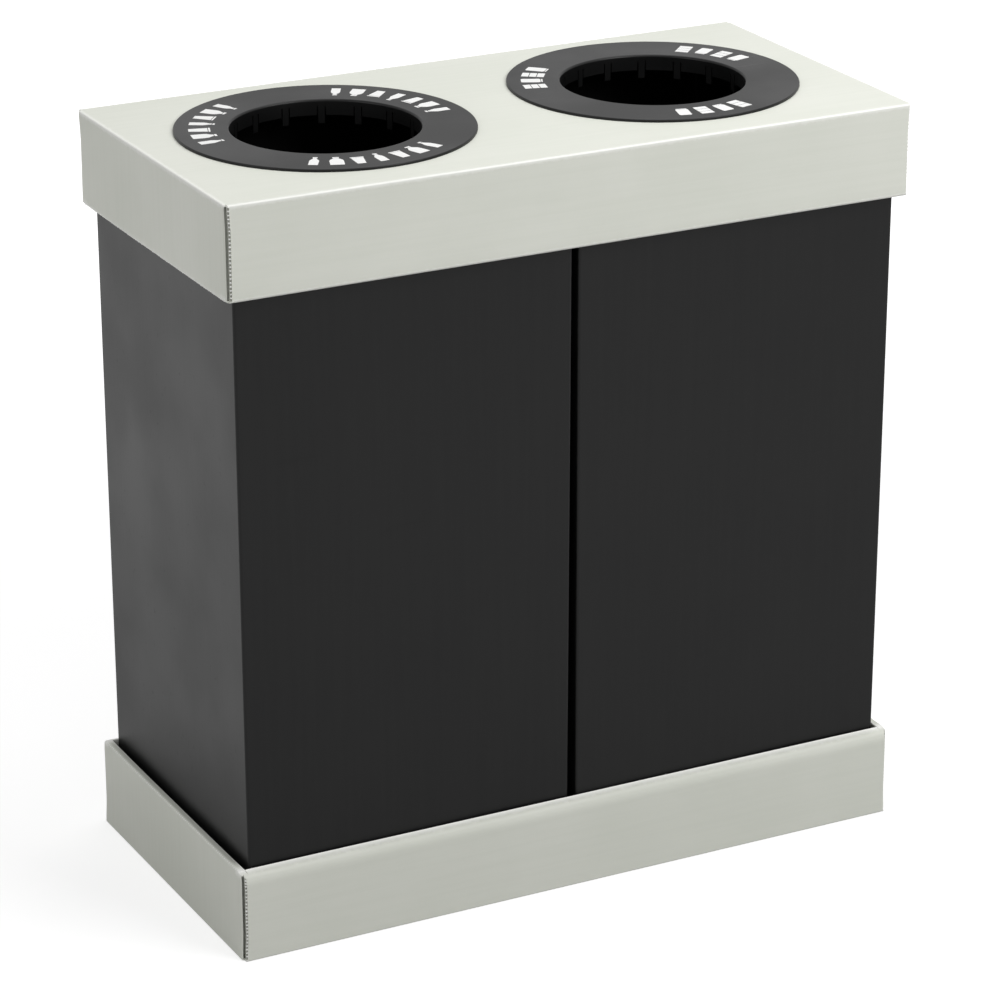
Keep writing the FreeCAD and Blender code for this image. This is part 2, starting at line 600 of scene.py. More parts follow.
@cache
def flute_relief() -> Tree:
    """A shader group: the faint ribs that the flutes press into a board's skin.

    Returns:
        The group, with the height of the ribs and a mask of the stronger ones.
    """
    streak_scale, streak_limits = (5.0, 150.0, 1.0), (0.35, 0.7)
    inputs = {"Flute Map": "Vector", "Pitch": "Float", "Irregularity": "Float"}
    outputs = {"Height": "Float", "Streak": "Float"}
    sheet = NodeSheet.of_group("flute_relief", "ShaderNodeTree", inputs, outputs)
    given = sheet.given()
    across = sheet.parts(given["Flute Map"])["Y"]
    phase = sheet.maths("MULTIPLY", sheet.maths("DIVIDE", across, given["Pitch"]), FULL_TURN)
    rib = sheet.maths("MULTIPLY_ADD", sheet.maths("COSINE", phase), 0.5, 0.5)
    drawn_out = {"Vector": given["Flute Map"], "Scale": streak_scale}
    lines = sheet.cloud(sheet.node("ShaderNodeMapping", drawn_out).outputs[0], 1.0, detail=3.0)
    streak = sheet.stepped(lines, streak_limits)
    uneven = sheet.maths("MULTIPLY", streak, given["Irregularity"])
    even = sheet.maths("MULTIPLY", rib, sheet.maths("SUBTRACT", 1.0, given["Irregularity"]))
    return sheet.giving(Height=sheet.maths("ADD", uneven, even), Streak=streak)


@cache
def fold_lines() -> Tree:
    """A shader group: the mask of a box's pale folds, stress whitening and painted highlight, by the nearest
    edge of that box.

    Returns:
        The group, with a mask that is 1 on the edges.
    """
    waver_scale, waver_floor = 180.0, 0.5
    inputs = {"Position": "Vector", "Middle": "Vector", "Half Size": "Vector", "Reach": "Float"}
    sheet = NodeSheet.of_group("fold_lines", "ShaderNodeTree", inputs, {"Mask": "Float"})
    given = sheet.given()
    offset = sheet.vectors("SUBTRACT", given["Position"], given["Middle"]).outputs[0]
    away = sheet.vectors("ABSOLUTE", offset).outputs[0]
    beyond = sheet.vectors("SUBTRACT", given["Half Size"], away).outputs[0]
    x, y, z = sheet.parts(sheet.vectors("ABSOLUTE", beyond).outputs[0])
    nearer = sheet.maths("MINIMUM", x, y)
    further = sheet.maths("MAXIMUM", x, y)
    second = sheet.maths("MAXIMUM", nearer, sheet.maths("MINIMUM", further, z))
    waver = sheet.maths("ADD", sheet.cloud(given["Position"], waver_scale), waver_floor)
    reach = sheet.maths("MULTIPLY", given["Reach"], waver)
    return sheet.giving(Mask=sheet.maths("SUBTRACT", 1.0, sheet.maths("DIVIDE", second, reach), clamp=True))


@cache
def handling() -> Tree:
    """A shader group: the traces that making and handling leave.

    Returns:
        The group, with a slow cloud, a fine grain and thin rub marks.
    """
    cloud_scale, cloud_limits = 7.0, (0.3, 0.7)
    grain_scale = 2600.0
    rub_turn, rub_stretch, rub_scale, rub_limits = (0.4, 0.9, 0.5), (3.0, 60.0, 40.0), 3.0, (0.66, 0.8)
    outputs = {"Cloud": "Float", "Grain": "Float", "Rub": "Float"}
    sheet = NodeSheet.of_group("handling", "ShaderNodeTree", {"Position": "Vector"}, outputs)
    place = sheet.given()["Position"]
    cloud = sheet.stepped(sheet.cloud(place, cloud_scale, detail=3.0), cloud_limits)
    tilted = {"Vector": place, "Rotation": rub_turn, "Scale": rub_stretch}
    rub = sheet.cloud(sheet.node("ShaderNodeMapping", tilted).outputs[0], rub_scale)
    grain = sheet.cloud(place, grain_scale)
    return sheet.giving(Cloud=cloud, Grain=grain, Rub=sheet.stepped(rub, rub_limits))


# Finishes


class Skin:
    """A material under construction, with the traces of handling at hand."""

    def __init__(self, name: str) -> None:
        """Starts the material.

        Args:
            name: Its name.
        """
        self.material = bpy.data.materials.new(name)
        self.material.use_nodes = True
        self.sheet = NodeSheet(self.material.node_tree)
        self.surface = self.material.node_tree.nodes["Principled BSDF"].inputs
        self.position = self.sheet.node("ShaderNodeTexCoord").outputs["Object"]
        self.use = self.sheet.group(handling(), {"Position": self.position})

    def mixed(self, trace: object, by: float, onto: object) -> Socket:
        """A trace, scaled and added onto a value."""
        return self.sheet.maths("MULTIPLY_ADD", trace, by, onto)

    def clouded(self, roughness: tuple[object, float]) -> Socket:
        """A roughness, from its least value and how much clouding adds to it."""
        least, spread = roughness
        return self.mixed(self.use["Cloud"], spread, least)

    def coated(self, colour: object, roughness: object, specular: float) -> Material:
        """Sets the surface's look.

        Args:
            colour: The colour's socket.
            roughness: The roughness's socket.
            specular: The strength of its gloss.

        Returns:
            The material.
        """
        self.sheet.feed(self.surface["Base Color"], colour)
        self.sheet.feed(self.surface["Roughness"], roughness)
        self.surface["Specular IOR Level"].default_value = specular
        return self.material

    def embossed(self, relief: Socket, height: float) -> None:
        """Raises the surface by a relief whose full value stands for a height."""
        bump = self.sheet.node("ShaderNodeBump", {"Distance": height, "Height": relief})
        self.sheet.feed(self.surface["Normal"], bump.outputs[0])


@dataclass(frozen=True)
class Folds:
    """The edges of a box along which a board is pale, from stress whitening and painted highlight, and how
    strongly and how far.
    """

    low: Vector
    high: Vector
    strength: float
    reach: float


@dataclass(frozen=True)
class BoardFinish:
    """Fluted plastic board: satin skin, faint ribs, pale folds of stress whitening and painted highlight, and
    white spots where it is crushed.

    A share is the weight of streaks or rubs against clouding, or of grain on top of the ribs. A roughness of
    two numbers is its least value and its spread.
    """

    name: str
    colour: Colour
    shade: Colour
    # The pale colour of the folds, stress whitening and painted highlight; also the whitened tone of crushed
    # spots and webs
    whitened_and_highlight_colour: Colour
    roughness: float
    roughness_spread: float
    specular: float
    rib_height: float
    irregularity: float
    streak_share: float = 0.35
    rub_share: float = 0.5
    grain_share: float = 0.25
    fold_relief: float = 5.0
    flute_pitch: float = 4 * MM
    crushed_colour: Colour = (0.97, 0.97, 0.95, 1.0)
    crushed_roughness: Pair = (0.28, 0.15)
    crushed_specular: float = 0.6
    cut_roughness: Pair = (0.5, 0.2)

    def whitening_and_highlight(self, skin: Skin, folds: Iterable[Folds]) -> Socket:
        """Masks the pale folds: stress whitening and painted highlight.

        Args:
            skin: The material under construction.
            folds: Where the board is folded.

        Returns:
            The mask of the palest fold at each place.
        """
        strongest = 0.0
        for fold in folds:
            box = {"Middle": (fold.low + fold.high) / 2, "Half Size": (fold.high - fold.low) / 2}
            edges = skin.sheet.group(fold_lines(), {"Position": skin.position, "Reach": fold.reach, **box})
            pale = skin.sheet.maths("MULTIPLY", edges["Mask"], fold.strength)
            strongest = skin.sheet.maths("MAXIMUM", strongest, pale)
        return strongest

    def material(self, part: str, folds: Iterable[Folds]) -> Material:
        """Builds the material for one folded piece.

        Args:
            part: The piece's name.
            folds: Where the board is folded.

        Returns:
            The material.
        """
        skin = Skin(f"{self.name}_{part}")
        sheet, use = skin.sheet, skin.use
        flute_map = sheet.node("ShaderNodeUVMap", uv_map="flute_map").outputs[0]
        pattern = {"Flute Map": flute_map, "Pitch": self.flute_pitch, "Irregularity": self.irregularity}
        ribs = sheet.group(flute_relief(), pattern)
        whitening_and_highlight = self.whitening_and_highlight(skin, folds)
        clouded = sheet.maths("MULTIPLY", use["Cloud"], 1 - self.streak_share)
        tone = skin.mixed(ribs["Streak"], self.streak_share, clouded)
        # Pale folds blended into the colour: stress whitening and painted highlight
        colour = sheet.blended(whitening_and_highlight, sheet.blended(tone, self.colour, self.shade), self.whitened_and_highlight_colour)
        dulled = sheet.maths("MULTIPLY", use["Cloud"], 1 - self.rub_share)
        wear = skin.mixed(use["Rub"], self.rub_share, dulled)
        pressed = sheet.maths("MULTIPLY", ribs["Height"], skin.mixed(whitening_and_highlight, self.fold_relief, 1.0))
        skin.embossed(skin.mixed(use["Grain"], self.grain_share, pressed), self.rib_height)
        return skin.coated(colour, skin.mixed(wear, self.roughness_spread, self.roughness), self.specular)

    def crushed_material(self) -> Material:
        """Builds the material of the board's crushed, whitened spots.

        Returns:
            The material.
        """
        skin = Skin(f"{self.name}_crushed")
        colour = skin.sheet.blended(skin.use["Grain"], self.crushed_colour, self.whitened_and_highlight_colour)
        return skin.coated(colour, skin.clouded(self.crushed_roughness), self.crushed_specular)

    def cut_material(self) -> Material:
        """Builds the material of the webs between the skins, bare plastic without a map.

        Returns:
            The material.
        """
        skin = Skin(f"{self.name}_cut_edge")
        colour = skin.sheet.blended(skin.use["Grain"], self.whitened_and_highlight_colour, self.colour)
        return skin.coated(colour, skin.clouded(self.cut_roughness), self.specular)


@dataclass(frozen=True)
class MouldedFinish:
    """Injection-moulded plastic with a fine spark-eroded grain, a little dusty, and smoother where rubbed."""

    name: str
    colour: Colour
    dust_colour: Colour
    dust_share: float
    roughness: Pair
    rub_polish: float
    specular: float
    grain_height: float

    def material(self) -> Material:
        """Builds the material.

        Returns:
            The material.
        """
        skin = Skin(self.name)
        dust = skin.sheet.maths("MULTIPLY", skin.use["Cloud"], self.dust_share)
        least, spread = self.roughness
        polished = skin.mixed(skin.use["Rub"], -self.rub_polish, least)
        skin.embossed(skin.use["Grain"], self.grain_height)
        colour = skin.sheet.blended(dust, self.colour, self.dust_colour)
        return skin.coated(colour, skin.clouded((polished, spread)), self.specular)


@dataclass(frozen=True)
class PrintFinish:
    """Hot-stamped white foil, slightly worn."""

    name: str
    colour: Colour
    worn_colour: Colour
    worn_limits: Pair
    worn_share: float
    roughness: Pair
    specular: float

    def material(self) -> Material:
        """Builds the material.

        Returns:
            The material.
        """
        skin = Skin(self.name)
        worn = skin.sheet.maths(
            "MULTIPLY", skin.sheet.stepped(skin.use["Grain"], self.worn_limits), self.worn_share
        )
        colour = skin.sheet.blended(worn, self.colour, self.worn_colour)
        return skin.coated(colour, skin.clouded(self.roughness), self.specular)


TRAY_BOARD = BoardFinish(
    name="tray_board",
    colour=(0.720, 0.732, 0.668, 1.0),
    shade=(0.680, 0.697, 0.628, 1.0),
    whitened_and_highlight_colour=(0.93, 0.93, 0.90, 1.0),
    roughness=0.46,
    roughness_spread=0.14,
    specular=0.22,
    rib_height=0.035 * MM,
    irregularity=0.55,
)

BIN_BOARD = BoardFinish(
    name="bin_board",
    colour=(0.0040, 0.0041, 0.0042, 1.0),
    shade=(0.0070, 0.0071, 0.0070, 1.0),
    whitened_and_highlight_colour=(0.05, 0.05, 0.05, 1.0),
    roughness=0.36,
    roughness_spread=0.16,
    specular=0.20,
    rib_height=0.012 * MM,
    irregularity=0.7,
)

RING_PLASTIC = MouldedFinish(
    name="ring_plastic",
    colour=(0.0040, 0.0041, 0.0042, 1.0),
    dust_colour=(0.0085, 0.0085, 0.0083, 1.0),
    dust_share=0.35,
    roughness=(0.31, 0.1),
    rub_polish=0.08,
    specular=0.235,
    grain_height=0.02 * MM,
)

MARK_PRINT = PrintFinish(
    name="mark_print",
    colour=(0.86, 0.86, 0.85, 1.0),
    worn_colour=(0.62, 0.62, 0.61, 1.0),
    worn_limits=(0.55, 0.8),
    worn_share=0.5,
    roughness=(0.4, 0.15),
    specular=0.35,
)


# Sub-assemblies


WALL_WAYS = ((Axis.X, Axis.Y), (Axis.Y, Axis.X))  # the way that walls face and the way that they run


@dataclass(kw_only=True)
class FoldedSheet(ABC):
    """A piece folded from one die-cut sheet of board, with the ends of its flutes open at the cut edges."""

    node: str
    body: str
    finish: BoardFinish
    lay: FluteLay
    groove_depth: float
    bend_steps: Triple
    board: float = 4 * MM
    skin: float = 0.5 * MM
    web: float = 0.45 * MM
    web_inset: float = 0.25 * MM

    def __post_init__(self) -> None:
        """Takes the sheet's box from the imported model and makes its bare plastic."""
        self.bare = self.finish.cut_material()
        self.low, self.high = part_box(self.node)
        self.middle = (self.low + self.high) / 2
        self.half = (self.high - self.low) / 2

    @abstractmethod
    def bent(self, place: Vector) -> Vector:
        """Where a point of the flat-walled sheet lies once the board has relaxed."""

    @abstractmethod
    def cutter(self) -> Piece:
        """The space between the skins at the cut edges."""

    @abstractmethod
    def webs(self) -> list[Piece]:
        """The webs between the flutes at the cut edges."""

    @abstractmethod
    def folds(self) -> list[Folds]:
        """Where the sheet is folded or cut."""

    def bends(self) -> Planes:
        """The evenly spaced planes that the board can bend at: the way that they face, and their places."""
        steps = zip(Axis, self.low, self.high, self.bend_steps)
        return [(axis, spaced(low, high, step)) for axis, low, high, step in steps]

    def shell(self) -> Piece:
        """The folded sheet itself, with its cut edges open and its walls a little uneven."""
        sheet = from_bmesh(self.node + "_sheet", copy_of_node(self.node))
        return relaxed(carved(sheet, self.cutter()), self.bends(), self.bent)

    def row(
        self, piece: Piece, along: Axis, count: int, starts: Iterable[Point], material: Material,
        **variety: float
    ) -> Piece:
        """Repeats a small piece from flute to flute in a row from each start; variety is Repeat's own."""
        step = tuple(towards(along, self.finish.flute_pitch))
        return Repeat(count=count, step=step, **variety).made("row", piece, starts, material)

    def finished(self, part: str, rows: Iterable[Piece]) -> Piece:
        """Joins rows of small pieces into one named part, which follows the board's bends."""
        return carried(joined(f"{self.node}_{part}", rows), self.bent)

    def build(self) -> None:
        """Makes and dresses the sheet and its webs."""
        shell = self.shell()
        mapped_flutes(shell, self.lay)
        skin = self.finish.material(self.node, self.folds())
        handed_over(smoothed(shell), skin, self.body, self.finish.name, self.node)
        handed_over(self.finished("flute_webs", self.webs()), self.bare, self.body, self.finish.name)


@dataclass(frozen=True)
class NibRow:
    """A row of crushed flutes: the half sizes of one, the way that the row runs, and how uneven it is."""

    half_size: Triple
    along: Axis
    unevenness: float
    seed: int


@dataclass(kw_only=True)
class FoldedTray(FoldedSheet):
    """A tray folded from one die-cut sheet, every wall rolled over double.

    The front and back panels stop short of the corners, where the ends of their flutes show. Bends are insets
    from the outer faces, or shares of the roll's depth. Waves are counted along the wall and up it, in waves
    a metre. A bruise is the strength and the reach of a pale fold, which is stress whitening and painted
    highlight.
    """

    roll_up: bool
    seed: float
    lay: FluteLay = FluteLay.ALONG_WIDTH
    groove_depth: float = 6 * MM
    bend_steps: Triple = (24 * MM, 24 * MM, 8 * MM)
    roll_bends: tuple[float, ...] = (0.12, 0.25, 0.4, 0.6, 0.8, 1)
    end_bends: tuple[float, ...] = (3.8 * MM, 5.2 * MM, 6.8 * MM, 8.3 * MM)
    long_bends: tuple[float, ...] = (
        1.2 * MM, 2.6 * MM, 4.6 * MM, 6.6 * MM, 8.6 * MM, 9.4 * MM, 10.3 * MM, 11.2 * MM,
    )
    cut_end_inset: float = 3.4 * MM
    layer_gap: float = 0.2 * MM
    crease_inset: float = 2.2 * MM
    skin_notch: float = 1.2 * MM
    pocket_reach: float = 26 * MM
    pocket_depth: float = 3.2 * MM
    crease_skin: float = 1.3 * MM
    fold_nibs: NibRow = NibRow((1.35 * MM, 1.3 * MM, 1.3 * MM), Axis.Y, 0.4, 11)
    roll_nibs: NibRow = NibRow((2.9 * MM, 1.0 * MM, 0.95 * MM), Axis.X, 0.2, 17)
    end_nibs: NibRow = NibRow((1.6 * MM, 1.25 * MM, 1.35 * MM), Axis.Z, 0.35, 23)
    nib_margin: float = 7.2 * MM
    wall_slack: float = 0.45 * MM
    slack_growth: float = 3.0
    long_waves: Pair = (4.5, 9.0)
    long_seed: float = 3.0
    end_waves: Pair = (6.0, 9.0)
    end_seed: float = 7.0
    calm_reach: float = 90 * MM
    end_draw: float = 0.8 * MM
    end_draw_power: int = 3
    end_depth: float = 8.8 * MM
    corner_gape: float = 1.2 * MM
    corner_reach: float = 21 * MM
    gape_waves: float = 40.0
    gape_ragged: Pair = (0.7, 0.3)
    gape_roundness: float = 0.6
    roll_lean: float = 0.5 * MM
    roll_droop: float = 0.9 * MM
    roll_depth: float = 14 * MM
    lip_droop: Pair = (0.3, 0.7)
    lip_place: Pair = (0.1, 0.15)
    # Outer edges painted pale: stress whitening and painted highlight
    edge_whitening_and_highlight: Pair = (0.85, 5.0 * MM)
    roll_bruise: Pair = (1.0, 7.5 * MM)
    end_rim_bruise: Pair = (0.9, 1.8 * MM)
    crease_bruise: Pair = (1.0, 1.5 * MM)
    cut_end_bruise: Pair = (1.0, 2.6 * MM)

    def __post_init__(self) -> None:
        """Works out where the panels lie, from the tray's box."""
        super().__post_init__()
        self.white = self.finish.crushed_material()
        pitch = self.finish.flute_pitch
        self.height = self.high.z - self.low.z
        self.rim, self.inwards = (self.high.z, -1) if self.roll_up else (self.low.z, 1)
        self.panel_end = self.high.x - self.cut_end_inset
        self.crease_depth = self.high.y - self.board - self.layer_gap
        self.long_stack = 3 * self.board + 2 * self.layer_gap
        self.end_stack = 2 * self.board + self.layer_gap
        self.web_count = int((self.height - 2 * self.crease_inset) / pitch)
        self.first_web = (self.low.z + self.high.z - (self.web_count - 1) * pitch) / 2

    def bent(self, place: Vector) -> Vector:
        """Where a point of the flat-walled tray lies once the board has relaxed.

        Args:
            place: A point of the CAD shape.

        Returns:
            The point, moved inwards, and at the rolled rim towards the tray's floor as well.
        """
        lies = place.copy()
        out_x, out_y = abs(place.x), abs(place.y)
        share = (place.z - self.low.z) / self.height
        share = share if self.roll_up else 1 - share
        upper = eased(share * self.slack_growth)
        if out_y > self.crease_depth - 2 * self.board and out_x <= self.panel_end + SAME_PLACE:
            calm = eased((self.high.x - out_x) / self.calm_reach)
            along, up = self.long_waves
            seed = self.seed + math.copysign(self.long_seed, place.y)
            wave = unevenness(place.x * along, place.z * up, seed)
            lies.y -= math.copysign(self.wall_slack * wave * upper * calm, place.y)
        if out_x > self.high.x - self.end_depth:
            draw = self.end_draw * abs(place.y / self.high.y) ** self.end_draw_power
            along, up = self.end_waves
            seed = self.seed + math.copysign(self.end_seed, place.x)
            wave = unevenness(place.y * along, place.z * up, seed)
            lies.x -= math.copysign((draw + self.wall_slack * wave) * upper, place.x)
        beyond_lip = out_x - (self.high.x - self.end_stack)
        if beyond_lip > SAME_PLACE and out_y <= self.crease_depth + SAME_PLACE:
            in_tab = out_y > self.crease_depth - self.board - self.layer_gap / 2
            pull = eased(beyond_lip / self.board) if in_tab else 1.0
            near = eased((out_y - self.crease_depth + self.corner_reach) / self.corner_reach)
            opening = math.sin(math.pi * min(1, max(0, share))) ** self.gape_roundness
            least, most = self.gape_ragged
            ragged = least + most * unevenness(place.z * self.gape_waves, place.x, self.seed)
            lies.y -= math.copysign(self.corner_gape * opening * ragged * pull * near, place.y)
        near_rim = 1 - (1 - share) * self.height / self.roll_depth
        outwards = (out_y - self.high.y + self.long_stack) / self.long_stack
        if near_rim > 0 and outwards > 0:
            lies.y -= math.copysign(self.roll_lean * outwards * near_rim**2, place.y)
            lip_start, lip_width = self.lip_place
            at_lip, at_edge = self.lip_droop
            step = at_lip * eased((outwards - lip_start) / lip_width)
            lies.z += self.inwards * self.roll_droop * (step + at_edge * outwards**2) * near_rim
        return lies

    def cutter(self) -> Piece:
        """The space between the skins at the four cut ends, and the gap between each end and the corner tab.

        Returns:
            The cutter.
        """
        outer, inner = -self.skin, self.board - self.skin
        outline = [
            (-self.board, outer), (-self.board, inner), (self.groove_depth, inner),
            (self.groove_depth, self.skin), (self.skin_notch, self.skin), (self.skin_notch, outer),
        ]
        foot, top = self.low.z + self.crease_inset, self.high.z - self.crease_inset
        tab_face = self.high.y - self.board - self.layer_gap / 2
        shape = bmesh.new()
        for x in (-1, 1):
            for y in (-1, 1):
                slot = [(x * (self.panel_end - end), y * (self.high.y - deep), foot) for end, deep in outline]
                add_prism(shape, slot, (0, 0, top - foot))
                opening = (x * (self.high.x - self.crease_skin), y * tab_face, foot)
                inner_end = (x * (self.high.x - self.pocket_reach), y * (tab_face - self.pocket_depth), top)
                add_box(shape, opening, inner_end)
        return from_bmesh("cut_end_cutter", shape)

    def bends(self) -> Planes:
        """The planes at which the board can bend, closer together at the rolled rim and in the corners.

        Returns:
            The way that each set faces, and its planes' places.
        """
        roll = [self.rim + self.inwards * self.roll_depth * share for share in self.roll_bends]
        planes = [*super().bends(), (Axis.Z, roll)]
        for way in (-1, 1):
            planes.append((Axis.X, [way * (self.high.x - inset) for inset in self.end_bends]))
            planes.append((Axis.Y, [way * (self.high.y - inset) for inset in self.long_bends]))
        return planes

    def webs(self) -> list[Piece]:
        """The webs between the flutes at the four cut ends, one object for each side.

        Returns:
            The two sides' webs.
        """
        sides = []
        for x in (-1, 1):
            shape = bmesh.new()
            half = Vector((0, self.board / 2 - self.skin, self.web / 2))
            add_box(shape, -half, half - Vector((x * (self.groove_depth - self.web_inset), 0, 0)))
            end, panel = self.panel_end - self.web_inset, self.high.y - self.board / 2
            starts = [(x * end, y * panel, self.first_web) for y in (-1, 1)]
            sides.append(self.row(from_bmesh("web", shape), Axis.Z, self.web_count, starts, self.bare))
        return sides

    def crease_nibs(self) -> Piece:
        """The small pale bumps where the folds of the end walls and the cut ends crush the flutes.

        Returns:
            The bumps of the whole tray, as one object.
        """
        fold, roll, end = self.fold_nibs.half_size, self.roll_nibs.half_size, self.end_nibs.half_size
        pitch = self.finish.flute_pitch
        first_fold, first_roll = self.low.y + self.nib_margin, self.end_stack - self.panel_end
        fold_count = int((self.high.y - self.low.y - 2 * self.nib_margin) / pitch) + 1
        fold_z, roll_z = self.rim + self.inwards * fold[2], self.rim + self.inwards * roll[2]
        fold_insets = (fold[0], self.end_stack - fold[0])
        fold_starts = [
            (x * (self.high.x - inset), first_fold, fold_z) for x in (-1, 1) for inset in fold_insets
        ]
        roll_y = self.high.y - self.long_stack + roll[1]
        roll_starts = [(first_roll, y * roll_y, roll_z) for y in (-1, 1)]
        end_x, end_y = self.panel_end - self.skin_notch / 2, self.high.y - end[1]
        end_starts = [(x * end_x, y * end_y, self.first_web) for x in (-1, 1) for y in (-1, 1)]
        kinds = (
            (self.fold_nibs, fold_count, fold_starts),
            (self.roll_nibs, int(-2 * first_roll / pitch), roll_starts),
            (self.end_nibs, self.web_count, end_starts),
        )
        rows = []
        for kind, count, starts in kinds:
            variety = {"unevenness": kind.unevenness, "seed": kind.seed}
            rows.append(self.row(round_nib(kind.half_size), kind.along, count, starts, self.white, **variety))
        return self.finished("crease_nibs", rows)

    def folds(self) -> list[Folds]:
        """Where the sheet is folded or cut: its outer edges, its rim's inner edges and its upright corners.

        Returns:
            The sets of folds; those whose other edges lie beyond the tray have only the edges that are left.
        """
        beyond = 2.0
        foot, top = (-beyond, self.high.z) if self.roll_up else (self.low.z, beyond)
        boxes = (
            (beyond, self.high.y - self.long_stack, foot, top, self.roll_bruise),
            (self.high.x - self.end_stack, beyond, foot, top, self.end_rim_bruise),
            (self.high.x, self.crease_depth, -beyond, beyond, self.crease_bruise),
            (self.panel_end, self.high.y, -beyond, beyond, self.cut_end_bruise),
        )
        inner = [
            Folds(Vector((-x, -y, low)), Vector((x, y, high)), *whitening_and_highlight) for x, y, low, high, whitening_and_highlight in boxes
        ]
        return [Folds(self.low, self.high, *self.edge_whitening_and_highlight)] + inner

    def build(self) -> None:
        """Makes and dresses the tray's pieces."""
        super().build()
        nibs = smoothed(self.crease_nibs(), NIB_SHARP_ANGLE)
        handed_over(nibs, self.white, self.body, self.finish.name)


@dataclass(kw_only=True)
class FoldedBin(FoldedSheet):
    """One bin: a sleeve of smooth black board, open at the top, where the ends of its upright flutes show.

    Each draw is how far a wall leans in at its foot and at its top.
    """

    side: Side
    lay: FluteLay = FluteLay.UPRIGHT
    groove_depth: float = 8 * MM
    bend_steps: Triple = (22 * MM, 22 * MM, 40 * MM)
    corner: float = 4 * MM
    wall_depth: float = 4.8 * MM
    wall_slack: float = 0.9 * MM
    wall_waves: Pair = (9.0, 1.6)
    wave_seeds: Triple = (5, 2, 0.7)
    floor_reach: float = 120 * MM
    corner_reach: float = 70 * MM
    facing_depth: float = 6 * MM
    facing_bend: float = 6.4 * MM
    facing_draw: Pair = (3.1 * MM, 1.9 * MM)
    facing_gap: float = 0.1 * MM
    facing_ends: Pair = (0.35, 0.45)
    outer_draw: Pair = (4.4 * MM, 1.9 * MM)
    edge_whitening_and_highlight: Pair = (0.5, 3.0 * MM)

    def bent(self, place: Vector) -> Vector:
        """Where a point of the straight sleeve lies once its walls have drawn in, or bowed to the other bin.

        Args:
            place: A point of the CAD shape.

        Returns:
            The point, moved.
        """
        lies = place.copy()
        offset = place - self.middle
        above_floor = eased((place.z - self.low.z) / self.floor_reach)
        for wall, along in WALL_WAYS:
            out = offset[wall.value]
            if abs(out) > self.half[wall.value] - self.wall_depth:
                free = eased((self.half[along.value] - abs(offset[along.value])) / self.corner_reach)
                by_side, by_wall, by_way = self.wave_seeds
                seed = self.side.value * by_side + wall.value * by_wall + math.copysign(by_way, out)
                waves, upright_waves = self.wall_waves
                wave = unevenness(place[along.value] * waves, place.z * upright_waves, seed)
                lies[wall.value] -= math.copysign(self.wall_slack * wave * free * above_floor, out)
        height = (place.z - self.low.z) / (self.high.z - self.low.z)
        outwards = self.side.value * offset.x / self.half.x
        lower, upper = self.outer_draw
        lies.x -= self.side.value * max(0, outwards) * (lower + (upper - lower) * height)
        if -self.side.value * offset.x > self.half.x - self.facing_depth:
            lower, upper = self.facing_draw
            drawn = lower + (upper - lower) * height
            bowed = self.half.x - abs(self.middle.x) + self.facing_gap / 2
            first, width = self.facing_ends
            near_corner = eased((abs(offset.y) / self.half.y - first) / width)
            lies.x = place.x + self.side.value * (bowed + (drawn - bowed) * near_corner)
        return lies

    def cutter(self) -> Piece:
        """The spaces between the skins along the four top edges.

        Returns:
            The cutter.
        """
        shape = bmesh.new()
        for way in (-1, 1):
            for wall, along in WALL_WAYS:
                corner = Vector((0, 0, self.high.z - self.groove_depth))
                opposite = Vector((0, 0, self.high.z + self.board))
                for end, inset, sign in ((corner, self.skin, -1), (opposite, self.board - self.skin, 1)):
                    reach = self.half[along.value] - self.corner
                    end[wall.value] = self.middle[wall.value] + way * (self.half[wall.value] - inset)
                    end[along.value] = self.middle[along.value] + sign * reach
                add_box(shape, corner, opposite)
        return from_bmesh("groove_cutter", shape)

    def bends(self) -> Planes:
        """The planes at which the board can bend, with one just behind the wall that faces the other bin."""
        facing = self.middle.x - self.side.value * (self.half.x - self.facing_bend)
        return [*super().bends(), (Axis.X, [facing])]

    def webs(self) -> list[Piece]:
        """The webs between the flutes along the four top edges, one object for each pair of walls.

        Returns:
            The two pairs' webs.
        """
        pitch = self.finish.flute_pitch
        foot, top = self.high.z - self.groove_depth, self.high.z - self.web_inset
        pairs = []
        for along, wall in WALL_WAYS:
            count = int(2 * (self.half[along.value] - self.corner) / pitch)
            size = towards(Axis.Z, top - foot) + towards(along, self.web)
            size += towards(wall, self.board - 2 * self.skin)
            shape = bmesh.new()
            add_box(shape, -size / 2, size / 2)
            starts = []
            for way in (-1, 1):
                start = Vector((0, 0, (top + foot) / 2))
                start[along.value] = self.middle[along.value] - (count - 1) * pitch / 2
                start[wall.value] = self.middle[wall.value] + way * (self.half[wall.value] - self.board / 2)
                starts.append(start)
            pairs.append(self.row(from_bmesh("web", shape), along, count, starts, self.bare))
        return pairs

    def folds(self) -> list[Folds]:
        """Where the sheet is folded or cut: the edges of its box."""
        return [Folds(self.low, self.high, *self.edge_whitening_and_highlight)]


class Pictogram(Enum):
    """Plain container shapes, each a stack of bands, as (half width, height) points in millimetres."""

    BOTTLE = (((4.2, 0), (4.2, 12.5), (3.4, 15), (1.7, 18), (1.7, 20.2)), ((2.1, 20.9), (2.1, 23)))
    JUG = (((6.3, 0), (6.3, 11), (5.6, 14.5), (2.4, 18.3), (2.4, 19.6)), ((2.9, 20.3), (2.9, 22.6)))
    CUP = (((3.9, 0), (5.6, 17)), ((6.1, 17.7), (6.1, 19.3)))
    CAN = (((4.9, 0), (5.8, 1.4), (5.8, 16.6), (4.9, 18)), ((4.9, 18.7), (4.9, 20)))
    TIN = (((6.2, 0), (6.2, 6.5)), ((6.2, 7.3), (6.2, 13.7)), ((6.2, 14.5), (6.2, 21)))


BOTTLE_ROW = tuple(Pictogram[name] for name in "BOTTLE JUG CUP BOTTLE CUP JUG BOTTLE".split())
CAN_ROW = (Pictogram.CAN, Pictogram.TIN) * 2


